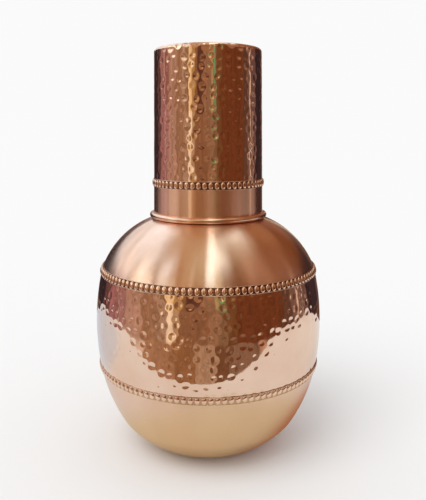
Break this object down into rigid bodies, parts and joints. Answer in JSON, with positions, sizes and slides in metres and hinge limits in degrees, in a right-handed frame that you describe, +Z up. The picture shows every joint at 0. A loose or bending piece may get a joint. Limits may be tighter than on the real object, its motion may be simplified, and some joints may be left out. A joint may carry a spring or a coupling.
{
  "type": "lota water pot",
  "caption": "Round hammered copper water carafe with a bead row round each seam and an inverted drinking tumbler that covers its neck.",
  "frame": {"origin": "middle of the foot ring, on the surface that the pot stands on", "axes": "+Z up along the axis of the pot, neck and tumbler; the pot is the same all round, so +X and +Y are any two directions square to it"},
  "size_m": [0.1384, 0.1384, 0.24],
  "materials": {
    "satin_copper": "brushed satin copper",
    "hammered_copper": "polished hammered copper",
    "beaded_copper": "polished copper, darker between the beads",
    "copper_wire": "drawn copper"
  },
  "bodies": {
    "carafe": {"lower_bowl": "satin_copper", "belly_band": "hammered_copper", "shoulder": "satin_copper", "neck_tube": "satin_copper", "neck_lip_wire": "copper_wire", "locating_collar": "satin_copper", "lower_bead_strip": "beaded_copper", "upper_bead_strip": "beaded_copper"},
    "tumbler": {"tumbler_cup": "hammered_copper", "tumbler_rim_wire": "copper_wire", "tumbler_bead_strip": "beaded_copper"}
  },
  "joints": [
    {"name": "tumbler_lift", "type": "slide", "parent": "carafe", "child": "tumbler", "axis": [0, 0, 1], "range_m": [0, 0.12]}
  ]
}
